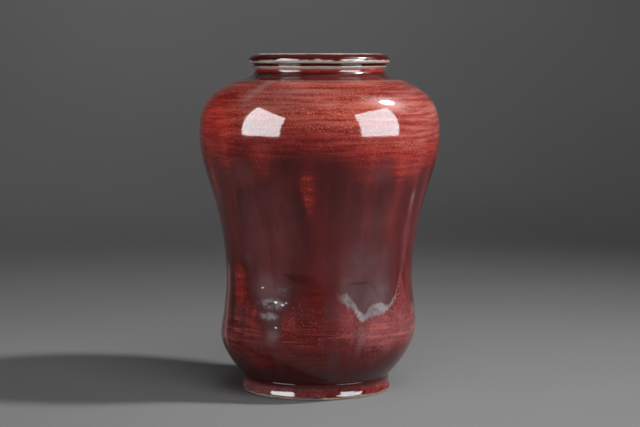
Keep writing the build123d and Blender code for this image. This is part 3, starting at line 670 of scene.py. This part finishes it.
liner_r = np.vstack([in_r[:, None] - np.abs(spiral), np.broadcast_to(back_r[:, None], (len(back_r), N_LIN))])
liner_z = np.vstack([in_z[:, None] + whirl, np.broadcast_to(back_z[:, None], (len(back_z), N_LIN))])
liner_glaze = turned("liner_glaze_coat", liner_r, liner_z, N_LIN, False)

# ------------------------------------------------------------------ foot ring and base
ring_side = [
    (64.4, 0.0), (65.4, 0.7), (65.85, 1.9), (65.6, 3.5), (65.05, 5.2), (64.65, 7.0), (64.5, 9.0), (64.45, 11.0),
    (64.12, 12.5),
]  # fmt: skip
sr, sz = along(ring_side, 0.35)
face_r, face_z = np.linspace(55.4, 64.1, 14), np.zeros(14)
in_side_r, in_side_z = np.array([57.0, 57.0, 54.0, 54.0, 54.0]), np.array([12.4, 6.6, 6.4, 4.0, 1.6])
edge_r, edge_z = np.array([54.3, 54.8]), np.array([0.9, 0.35])
rr = np.concatenate([sr, [60.0], in_side_r, edge_r, face_r])[:, None]
rz = np.concatenate([sz, [12.5], in_side_z, edge_z, face_z])[:, None]
cx, cy = np.sin(phi), -np.cos(phi)
turning = 0.06 * np.sin(rr * 9.0) * step(54.5, 55.5, rr) * step(65.0, 64.0, rr) * step(0.3, 0.0, rz)
chips = 0.22 * np.clip(noise(cx * 16, cy * 16, rz / 2, 91, 2) - 0.35, 0, 1) * step(63.5, 65.2, rr) * step(3, 0.6, rz)
foot_ring = turned(
    "foot_ring_clay",
    rr - chips - 0.03 * np.abs(noise(cx * 30, cy * 30, rz, 93)),
    rz + np.abs(turning) + np.zeros_like(phi),
    N_LIN,
    True,
    None,
    FOOT_X,
)
base_r = np.concatenate([np.linspace(1.5, 53.0, 60), [53.8, 53.95, 53.8], np.linspace(53.0, 1.5, 8)])[:, None]
base_z = np.concatenate([np.full(60, 5.95), [6.0, 6.2, 6.45], np.full(8, 6.48)])[:, None]
ripple = 0.05 * (1 + np.sin(base_r / 4.2 * TAU + phi)) * (np.arange(len(base_r)) < 58)[:, None]
base_glaze = turned("base_glaze_coat", (base_r + 0 * phi)[::-1], (base_z + ripple)[::-1], N_LIN, False, None, FOOT_X)


# ------------------------------------------------------------------ materials
def srgb(r, g, b):
    """A colour as seen on a screen, 0 to 255, as a shader's linear colour."""
    c = [v / 255 for v in (r, g, b)]
    return (*(v / 12.92 if v <= 0.04045 else ((v + 0.055) / 1.055) ** 2.4 for v in c), 1.0)


class Graph:
    """Adds nodes to one material and links them."""

    def __init__(self, name):
        self.material = bpy.data.materials.new(name)
        self.material.use_nodes = True
        self.tree = self.material.node_tree
        self.tree.nodes.clear()
        self.out = self.node("ShaderNodeOutputMaterial")
        self.bsdf = self.node("ShaderNodeBsdfPrincipled")
        self.link(self.bsdf.outputs["BSDF"], self.out.inputs["Surface"])
        self.where = self.node("ShaderNodeTexCoord").outputs["Object"]

    def node(self, kind, **settings):
        made = self.tree.nodes.new(kind)
        for key, value in settings.items():
            setattr(made, key, value)
        return made

    def link(self, a, b):
        self.tree.links.new(a, b)

    def put(self, socket, value):
        if isinstance(value, bpy.types.NodeSocket):
            self.link(value, socket)
        else:
            socket.default_value = value

    def attribute(self, name):
        return self.node("ShaderNodeAttribute", attribute_name=name).outputs["Fac"]

    def stretched(self, x, y, z):
        made = self.node("ShaderNodeMapping")
        self.link(self.where, made.inputs["Vector"])
        made.inputs["Scale"].default_value = (x, y, z)
        return made.outputs["Vector"]

    def noise(self, vector, scale, detail=3.0, rough=0.55, distort=0.0):
        made = self.node("ShaderNodeTexNoise")
        self.link(vector, made.inputs["Vector"])
        made.inputs["Scale"].default_value = scale
        made.inputs["Detail"].default_value = detail
        made.inputs["Roughness"].default_value = rough
        made.inputs["Distortion"].default_value = distort
        return made.outputs["Fac"]

    def ramp(self, value, low, high, to_low=0.0, to_high=1.0):
        made = self.node("ShaderNodeMapRange", interpolation_type="SMOOTHSTEP")
        self.link(value, made.inputs["Value"])
        made.inputs["From Min"].default_value = low
        made.inputs["From Max"].default_value = high
        made.inputs["To Min"].default_value = to_low
        made.inputs["To Max"].default_value = to_high
        return made.outputs["Result"]

    def math(self, kind, a, b=0.0, clamp=False):
        made = self.node("ShaderNodeMath", operation=kind, use_clamp=clamp)
        self.put(made.inputs[0], a)
        self.put(made.inputs[1], b)
        return made.outputs[0]

    def mix(self, share, a, b, blend="MIX"):
        made = self.node("ShaderNodeMix", data_type="RGBA", blend_type=blend)
        made.clamp_factor = True
        self.put(made.inputs[0], share)
        self.put(made.inputs[6], a)
        self.put(made.inputs[7], b)
        return made.outputs[2]

    def bump(self, height, strength, distance, normal=None):
        made = self.node("ShaderNodeBump")
        self.link(height, made.inputs["Height"])
        made.inputs["Strength"].default_value = strength
        made.inputs["Distance"].default_value = distance
        if normal is not None:
            self.link(normal, made.inputs["Normal"])
        return made.outputs["Normal"]


def red_glaze():
    g = Graph("red_flambe_glaze")
    shoulder, deep, red, tongue = (g.attribute(k) for k in ("shoulder", "deep", "red", "tongue"))
    scarlet, salmon, painted_light = (g.attribute(k) for k in ("scarlet", "salmon", "painted_light"))
    petal, pink, hoop, pale = (g.attribute(k) for k in ("petal", "pink", "hoop", "pale"))
    mauve, dark, cream, bare = (g.attribute(k) for k in ("mauve", "dark", "cream", "bare"))
    fine = g.noise(g.where, 1000.0, 2.0, 0.6)
    speckle = g.noise(g.where, 640.0, 2.0, 0.7)
    tide = g.noise(g.stretched(13, 13, 26), 1.0, 3.0, 0.55, 0.3)
    cloud = g.noise(g.where, 42.0, 4.0, 0.6, 0.4)
    brush = g.noise(g.stretched(30, 30, 310), 1.0, 4.0, 0.6, 0.2)
    rule = g.noise(g.stretched(24, 24, 420), 1.0, 2.0, 0.5, 0.15)
    stroke = g.noise(g.stretched(9, 9, 150), 1.0, 3.0, 0.55, 0.2)
    dots = g.noise(g.where, 640.0, 1.0, 0.5)
    drip = g.noise(g.stretched(70, 70, 7), 1.0, 4.0, 0.55)

    # Plum of the thick glaze, with redder runs and a milky veil low in the flutes that is partly mauve glaze and partly
    # a painted reflection of the floor.
    colour = g.mix(g.ramp(drip, 0.32, 0.7), (0.075, 0.006, 0.006, 1), (0.13, 0.011, 0.011, 1))
    colour = g.mix(g.ramp(cloud, 0.35, 0.7, 0.0, 0.4), colour, (0.085, 0.006, 0.005, 1))
    veil_and_reflection = g.mix(g.ramp(cloud, 0.3, 0.7), (0.092, 0.05, 0.056, 1), (0.138, 0.08, 0.087, 1))
    colour = g.mix(mauve, colour, veil_and_reflection)
    streaks = g.mix(g.ramp(drip, 0.38, 0.62), (0.17, 0.02, 0.019, 1), (0.25, 0.038, 0.036, 1))
    colour = g.mix(red, colour, streaks)

    # Crimson above it, then the thin, bright, speckled red of the shoulder.
    crimson = g.mix(g.ramp(brush, 0.35, 0.65), (0.185, 0.012, 0.011, 1), (0.33, 0.036, 0.031, 1))
    crimson = g.mix(g.ramp(speckle, 0.54, 0.64, 0.0, 0.5), crimson, (0.48, 0.09, 0.06, 1))
    colour = g.mix(deep, colour, crimson)
    brick = g.mix(g.ramp(brush, 0.36, 0.62), (0.25, 0.025, 0.016, 1), (0.52, 0.112, 0.076, 1))
    brick = g.mix(g.ramp(tide, 0.42, 0.66, 0.0, 0.5), brick, (0.22, 0.014, 0.009, 1))
    brick = g.mix(g.ramp(stroke, 0.5, 0.6, 0.0, 0.62), brick, (0.235, 0.016, 0.01, 1))
    brick = g.mix(g.ramp(stroke, 0.46, 0.36, 0.0, 0.35), brick, (0.56, 0.17, 0.125, 1))
    brick = g.mix(g.ramp(speckle, 0.52, 0.62, 0.0, 0.8), brick, (0.62, 0.18, 0.11, 1))
    brick = g.mix(g.ramp(fine, 0.54, 0.64, 0.0, 0.7), brick, (0.17, 0.01, 0.007, 1))
    brick = g.mix(g.ramp(rule, 0.58, 0.7, 0.0, 0.4), brick, (0.58, 0.16, 0.11, 1))
    brick = g.mix(g.math("MULTIPLY", scarlet, 0.75), brick, g.mix(g.ramp(brush, 0.35, 0.65), (0.5, 0.016, 0.01, 1), (0.76, 0.055, 0.036, 1)))
    brick = g.mix(g.math("MULTIPLY", salmon, 0.6), brick, g.mix(g.ramp(brush, 0.35, 0.65), (0.26, 0.06, 0.054, 1), (0.4, 0.15, 0.135, 1)))
    colour = g.mix(shoulder, colour, brick)

    # Petals below the flutes, crossed by thin rubbed lines.
    oxblood = g.mix(g.ramp(brush, 0.35, 0.65), (0.085, 0.003, 0.0025, 1), (0.17, 0.007, 0.006, 1))
    oxblood = g.mix(g.ramp(speckle, 0.56, 0.72, 0.0, 0.4), oxblood, (0.4, 0.035, 0.025, 1))
    colour = g.mix(g.math("MULTIPLY", petal, g.ramp(drip, 0.5, 0.62, 1.0, 0.5)), colour, oxblood)
    rosy = g.mix(g.ramp(cloud, 0.34, 0.66), (0.125, 0.022, 0.025, 1), (0.285, 0.08, 0.087, 1))
    rosy = g.mix(g.ramp(brush, 0.3, 0.7, 0.0, 0.35), rosy, (0.16, 0.03, 0.03, 1))
    rosy = g.mix(g.ramp(speckle, 0.5, 0.66, 0.0, 0.6), rosy, (0.43, 0.14, 0.135, 1))
    colour = g.mix(g.math("MULTIPLY", pink, g.ramp(drip, 0.5, 0.64, 1.0, 0.68)), colour, rosy)
    hoops = g.math("MULTIPLY", hoop, g.ramp(rule, 0.52, 0.61))
    colour = g.mix(g.math("MULTIPLY", hoops, 0.8), colour, (0.47, 0.12, 0.1, 1))
    colour = g.mix(g.math("MULTIPLY", g.math("MULTIPLY", petal, g.ramp(tide, 0.4, 0.6)), g.ramp(dots, 0.64, 0.72, 0.0, 0.22)), colour, (0.5, 0.16, 0.13, 1))

    # Darker plum where the dark mask is set; at the foot's top under the body, in a line beside the left rib's
    # highlight and down the right edge of the waist this darkening is painted shade.
    colour = g.mix(g.math("MULTIPLY", dark, 0.72), colour, (0.05, 0.004, 0.004, 1))
    fiery = g.mix(g.ramp(brush, 0.35, 0.65), (0.27, 0.008, 0.004, 1), (0.4, 0.016, 0.008, 1))
    fiery = g.mix(g.ramp(speckle, 0.5, 0.66, 0.0, 0.7), fiery, (0.56, 0.13, 0.07, 1))
    colour = g.mix(tongue, colour, fiery)
    # Salmon painted highlight down the left rib's edge, and painted light on the shaded left side of the foot.
    colour = g.mix(painted_light, colour, (0.42, 0.19, 0.18, 1))
    # Milky glaze pooled along the flutes' lower edges; the same pale mix also lays a painted sheen on the puckered
    # patch and a painted highlight down the right rib.
    milky = g.mix(g.ramp(cloud, 0.35, 0.7), (0.29, 0.248, 0.262, 1), (0.47, 0.425, 0.435, 1))
    colour = g.mix(pale, colour, milky)
    creamy = g.mix(g.ramp(cloud, 0.3, 0.7), (0.48, 0.42, 0.36, 1), (0.6, 0.56, 0.49, 1))
    colour = g.mix(cream, colour, creamy)
    colour = g.mix(bare, colour, (0.28, 0.125, 0.095, 1))

    g.link(colour, g.bsdf.inputs["Base Color"])
    g.link(g.ramp(cloud, 0.3, 0.7, 0.055, 0.085), g.bsdf.inputs["Roughness"])
    g.bsdf.inputs["IOR"].default_value = 1.5
    peel = g.noise(g.where, 160.0, 2.0, 0.5)
    height = g.math("ADD", peel, g.math("MULTIPLY", brush, 0.35))
    g.link(g.bump(height, 0.05, 0.001), g.bsdf.inputs["Normal"])
    return g.material


def plain_glaze(name, light, shade, fleck):
    g = Graph(name)
    cloud = g.noise(g.where, 38.0, 4.0, 0.6, 0.5)
    crawl = g.noise(g.stretched(40, 40, 260), 1.0, 3.0, 0.5)
    spots = g.noise(g.where, 520.0, 2.0, 0.6)
    colour = g.mix(g.ramp(cloud, 0.3, 0.72), shade, light)
    colour = g.mix(g.ramp(crawl, 0.55, 0.75, 0.0, 0.35), colour, shade)
    colour = g.mix(g.ramp(spots, 0.62, 0.72, 0.0, 0.5), colour, fleck)
    g.link(colour, g.bsdf.inputs["Base Color"])
    g.link(g.ramp(cloud, 0.3, 0.7, 0.3, 0.42), g.bsdf.inputs["Roughness"])
    g.bsdf.inputs["IOR"].default_value = 1.5
    g.bsdf.inputs["Coat Weight"].default_value = 0.8
    g.bsdf.inputs["Coat Roughness"].default_value = 0.06
    g.link(g.bump(g.noise(g.where, 140.0, 2.0, 0.5), 0.08, 0.001), g.bsdf.inputs["Normal"])
    return g.material


def fired_clay(name, light, shade, grog):
    g = Graph(name)
    cloud = g.noise(g.where, 60.0, 4.0, 0.6, 0.3)
    grain = g.noise(g.where, 900.0, 3.0, 0.7)
    turned_lines = g.noise(g.stretched(18, 18, 900), 1.0, 2.0, 0.5)
    specks = g.noise(g.where, 480.0, 1.0, 0.5)
    colour = g.mix(g.ramp(cloud, 0.3, 0.7), shade, light)
    colour = g.mix(g.ramp(grain, 0.5, 0.7, 0.0, 0.45), colour, shade)
    colour = g.mix(g.ramp(specks, 0.66, 0.74, 0.0, 0.8), colour, grog)
    g.link(colour, g.bsdf.inputs["Base Color"])
    g.link(g.ramp(grain, 0.3, 0.7, 0.78, 0.95), g.bsdf.inputs["Roughness"])
    height = g.math("ADD", grain, g.math("MULTIPLY", turned_lines, 0.8))
    g.link(g.bump(height, 0.35, 0.0006), g.bsdf.inputs["Normal"])
    return g.material


RED = red_glaze()
LINER = plain_glaze("liner_celadon_glaze", srgb(196, 190, 172), srgb(150, 138, 118), srgb(120, 84, 66))
BASE = plain_glaze("base_buff_glaze", srgb(178, 160, 134), srgb(128, 104, 82), srgb(92, 60, 48))
CLAY = fired_clay("bare_stoneware", srgb(206, 188, 162), srgb(168, 146, 120), srgb(112, 84, 64))
SLIP = fired_clay("luting_slip", srgb(192, 172, 148), srgb(154, 132, 108), srgb(108, 82, 62))

for piece, material, slot, node in (
    (body_glaze, RED, "red_glaze", "body_glaze"),
    (neck_glaze, RED, "red_glaze", "neck_glaze"),
    (foot_glaze, RED, "red_glaze", "foot_glaze"),
    (liner_glaze, LINER, "liner_glaze", "liner_glaze"),
    (base_glaze, BASE, "base_glaze", "base_glaze"),
    (foot_ring, CLAY, "bare_clay", "foot_ring"),
):
    piece.data.materials.append(material)
    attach(piece, "root")
    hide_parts(node)

slots = {s["node"]: s["material_slot"] for s in frame["record"]["subparts"]}
finish = {"bare_clay": CLAY, "slip": SLIP, "red_glaze": RED, "liner_glaze": LINER, "base_glaze": BASE}
for name, node in frame["nodes"].items():
    for s in node.material_slots:
        s.material = finish[slots[name]]


# ------------------------------------------------------------------ studio
def floor_material():
    g = Graph("studio_floor")
    cloud = g.noise(g.where, 1.6, 4.0, 0.55)
    grain = g.noise(g.where, 240.0, 3.0, 0.6)
    colour = g.mix(g.ramp(cloud, 0.3, 0.7), (0.225, 0.225, 0.23, 1), (0.24, 0.24, 0.245, 1))
    colour = g.mix(g.ramp(grain, 0.4, 0.7, 0.0, 0.08), colour, (0.2, 0.2, 0.204, 1))
    g.link(colour, g.bsdf.inputs["Base Color"])
    g.bsdf.inputs["Roughness"].default_value = 0.6
    g.bsdf.inputs["Specular IOR Level"].default_value = 0.0
    return g.material


# The floor turns up into a wall all round, well behind any camera.
sweep = np.linspace(0, math.pi / 2, 25)
sweep_r = np.concatenate([np.linspace(0.05, 1.25, 13), 1.3 + 1.3 * np.sin(sweep), [2.6, 2.6]])
sweep_z = np.concatenate([np.zeros(13), 1.3 - 1.3 * np.cos(sweep), [1.8, 2.4]])
around = np.linspace(0, TAU, 97)[:-1]
rows = len(sweep_r)
ring = np.stack(
    [sweep_r[:, None] * np.sin(around), -sweep_r[:, None] * np.cos(around), sweep_z[:, None] + 0 * around], axis=-1
)
i, j = np.meshgrid(np.arange(rows - 1), np.arange(96), indexing="ij")
k = (j + 1) % 96
quads = np.stack([i * 96 + j, i * 96 + k, (i + 1) * 96 + k, (i + 1) * 96 + j], axis=-1).reshape(-1, 4)
floor_mesh = bpy.data.meshes.new("studio_floor")
floor_mesh.from_pydata(
    ring.reshape(-1, 3).tolist() + [[0, 0, 0]],
    [],
    quads.tolist() + [[rows * 96, (c + 1) % 96, c] for c in range(96)],
)
floor_mesh.polygons.foreach_set("use_smooth", np.ones(len(floor_mesh.polygons), bool))
floor = bpy.data.objects.new("studio_floor", floor_mesh)
bpy.context.scene.collection.objects.link(floor)
floor_mesh.materials.append(floor_material())


def panel(name, corners, radiance, colour):
    """A flat screen that shows in the glaze as a soft-edged highlight; the camera doesn't see it."""
    mesh = bpy.data.meshes.new(name)
    mesh.from_pydata(corners, [], [tuple(range(len(corners)))])
    made = bpy.data.objects.new(name, mesh)
    bpy.context.scene.collection.objects.link(made)
    glow = bpy.data.materials.new(name)
    glow.use_nodes = True
    glow.node_tree.nodes.clear()
    out = glow.node_tree.nodes.new("ShaderNodeOutputMaterial")
    shine = glow.node_tree.nodes.new("ShaderNodeEmission")
    shine.inputs["Color"].default_value = (*colour, 1)
    shine.inputs["Strength"].default_value = radiance
    glow.node_tree.links.new(shine.outputs[0], out.inputs["Surface"])
    mesh.materials.append(glow)
    made.visible_camera = made.visible_diffuse = False
    return made


def area_light(name, place, facing, size, radiance, colour, shape="DISK"):
    lamp = bpy.data.lights.new(name, "AREA")
    lamp.shape = shape
    lamp.size = size
    lamp.energy = radiance * math.pi * (math.pi * size * size / 4 if shape == "DISK" else size * size)
    lamp.color = colour
    made = bpy.data.objects.new(name, lamp)
    made.location = place
    made.rotation_euler = (Vector(facing) - Vector(place)).to_track_quat("-Z", "Y").to_euler()
    made.visible_camera = False
    bpy.context.scene.collection.objects.link(made)
    return made


def falls_on(light, name, objects):
    """Lets a light reach only these objects."""
    group = bpy.data.collections.new(name)
    for o in objects:
        group.objects.link(o)
    light.light_linking.receiver_collection = group


def past_screens(light, name):
    """Lets only the vase and the floor block a light, so the screens leave no shadow on the wall."""
    group = bpy.data.collections.new(name)
    for o in [*vase, floor]:
        group.objects.link(o)
    light.light_linking.blocker_collection = group


def glow_round(name, place, facing, size, radiance):
    """A disc of light, brightest in its middle, that shows only in the glaze."""
    made = panel(name, [(size * x, size * y, 0) for x, y in ((-1, -1), (1, -1), (1, 1), (-1, 1))], radiance, (1, 0.99, 0.98))
    made.location = place
    made.rotation_euler = (Vector(facing) - Vector(place)).to_track_quat("-Z", "Y").to_euler()
    tree = made.data.materials[0].node_tree
    where = tree.nodes.new("ShaderNodeTexCoord")
    scale = tree.nodes.new("ShaderNodeVectorMath")
    scale.operation = "SCALE"
    scale.inputs["Scale"].default_value = 1 / size
    fall = tree.nodes.new("ShaderNodeTexGradient")
    fall.gradient_type = "QUADRATIC_SPHERE"
    power = tree.nodes.new("ShaderNodeMath")
    power.operation = "MULTIPLY"
    power.inputs[1].default_value = radiance
    tree.links.new(where.outputs["Object"], scale.inputs[0])
    tree.links.new(scale.outputs["Vector"], fall.inputs["Vector"])
    tree.links.new(fall.outputs["Fac"], power.inputs[0])
    shine = next(n for n in tree.nodes if n.type == "EMISSION")
    tree.links.new(power.outputs[0], shine.inputs["Strength"])
    return made


def bearing(azimuth, elevation, distance):
    """A point that far from the vase, azimuth from the camera's side towards +X."""
    a, e = math.radians(azimuth), math.radians(elevation)
    return Vector((math.sin(a) * math.cos(e), -math.cos(a) * math.cos(e), math.sin(e))) * distance + Vector((0, 0, 0.2))


# Two upright screens stand beside the vase, and a lamp hangs to its right.
PANEL, LAMP = 13.0, 47.0
WARM = (1.0, 0.975, 0.97)
SCREEN_LEFT = [(-0.97, -0.285, 0.169), (-0.97, -0.326, 1.123), (-0.97, -1.531, 1.048), (-0.97, -1.338, 0.106)]
SCREEN_RIGHT = [(0.97, -0.235, 0.174), (0.97, -1.206, 0.116), (0.97, -1.368, 1.265), (0.97, -0.208, 0.995)]
aim = Matrix.Rotation(math.radians(1.0), 3, "Z")
panel("panel_left", [aim @ Vector(c) for c in SCREEN_LEFT], PANEL, (0.99, 1.04, 1.08))
panel("panel_right", [aim @ Vector(c) for c in SCREEN_RIGHT], PANEL, (0.84, 1.06, 1.13))
vase = [body_glaze, neck_glaze, foot_glaze, liner_glaze, base_glaze, foot_ring, *frame["nodes"].values()]
for side, name, radiance in ((-1, "spread_left", 13.5), (1, "spread_right", 3.7)):
    spread = area_light(name, (side * 0.97, -0.82, 0.62), (0, -0.82, 0.62), 1.05, radiance, WARM, "SQUARE")
    spread.visible_glossy = False
    falls_on(spread, name, vase)
rear = area_light("rear_fill", bearing(195, 28, 1.7), (0, 0, 0.15), 1.1, 4.0, WARM, "SQUARE")
rear.visible_glossy = False
falls_on(rear, "rear_fill", vase)
overhead = area_light("floor_light", (0.5, -1.45, 1.85), (0.5, -1.4, 0), 1.6, 3.5, (1, 1, 1))
overhead.visible_glossy = False
falls_on(overhead, "floor_light", [floor])
floor_lamp = area_light("floor_lamp", bearing(80, 46, 1.6), (0, 0, 0.2), 0.2, 12.0, (1, 0.99, 0.98))
floor_lamp.visible_glossy = False
falls_on(floor_lamp, "floor_lamp", [floor])
lamp = area_light("lamp", bearing(80, 46, 1.6), (0, 0, 0.2), 0.2, LAMP, (1, 0.99, 0.98))
lamp.visible_glossy = False
lamp.data.spread = math.radians(80)
area_light("lamp_glint", bearing(94, 47, 1.6), (0, 0, 0.2), 0.32, 48.0, (1, 0.99, 0.98)).visible_diffuse = False
glow_round("lamp_glow", bearing(93, 47.5, 1.62), (0, 0, 0.2), 0.85, 9.0)
backdrop = area_light("backdrop_light", (-0.35, 1.0, 1.75), (-0.3, 2.5, 0.75), 0.8, 2.0, (1, 1, 1))
backdrop.visible_glossy = False
backdrop.data.spread = math.radians(100)
ceiling = area_light("ceiling", (0, -0.3, 2.3), (0, -0.3, 0), 2.0, 0.32, (1, 1, 1))
ceiling.visible_glossy = False
for light in (lamp, floor_lamp, overhead, ceiling):
    past_screens(light, light.name + "_blockers")

world = bpy.data.worlds.new("studio")
bpy.context.scene.world = world
world.use_nodes = True
world.node_tree.nodes["Background"].inputs["Color"].default_value = (0.11, 0.11, 0.112, 1)
world.node_tree.nodes["Background"].inputs["Strength"].default_value = 1.0

# ------------------------------------------------------------------ camera
FOCAL_PX, WIDE = 1745.0, 640.0
eye = Vector((0.0, -1.558, 0.2968))
turn = Matrix.Rotation(math.radians(1.5), 4, "Z")
camera_data = bpy.data.cameras.new("camera")
camera_data.sensor_fit = "HORIZONTAL"
camera_data.sensor_width = 36.0
camera_data.lens = 36.0 * FOCAL_PX / WIDE
camera = bpy.data.objects.new("camera", camera_data)
tilt, yaw = math.radians(90 - 5.125), math.atan(-0.4 / FOCAL_PX)
camera.matrix_world = turn @ Matrix.Translation(eye) @ Matrix.Rotation(yaw, 4, "Z") @ Matrix.Rotation(tilt, 4, "X")
bpy.context.scene.collection.objects.link(camera)
bpy.context.scene.camera = camera
bpy.context.scene.view_settings.view_transform = "Standard"

bpy.context.view_layer.update()
